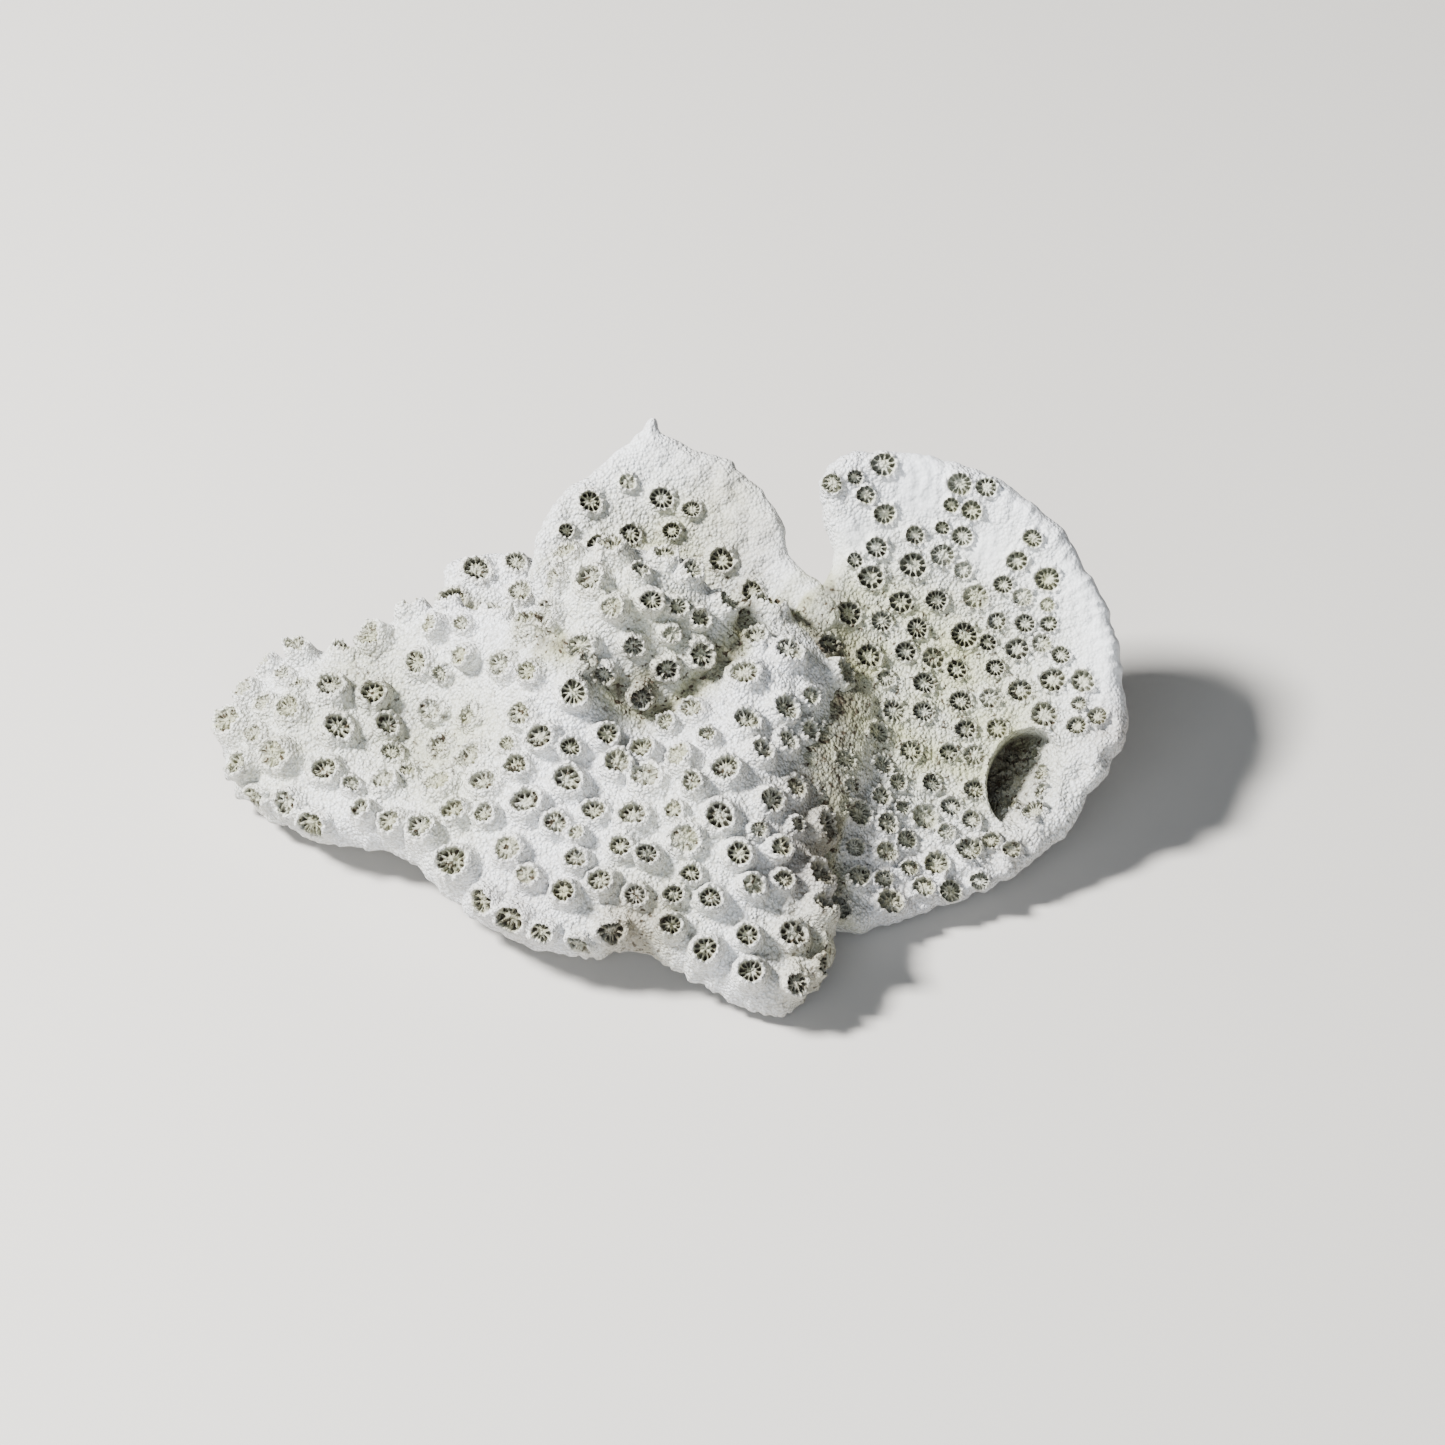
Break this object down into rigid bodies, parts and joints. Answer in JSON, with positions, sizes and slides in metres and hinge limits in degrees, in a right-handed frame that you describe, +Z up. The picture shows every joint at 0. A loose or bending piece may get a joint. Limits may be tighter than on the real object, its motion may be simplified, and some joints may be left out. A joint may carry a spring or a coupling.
{
  "type": "cabbage coral",
  "caption": "Bleached skeleton of a leafy cabbage coral: dished, cup-covered fronds rising from one stump that is cut flat to stand on a surface.",
  "frame": {"origin": "centre of the flat cut under the holdfast", "axes": "+Z up from the cut, +X to the right along the coral's length, towards the large fan, +Y to the back"},
  "size_m": [0.1213, 0.0747, 0.0421],
  "materials": {
    "coral": "dry bleached aragonite, chalky white with olive-beige dirt in its hollows"
  },
  "bodies": {
    "root": {"right_fan": "coral", "back_frond": "coral", "centre_knob": "coral", "front_frond": "coral", "back_leaf": "coral", "holdfast": "coral"}
  },
  "joints": []
}
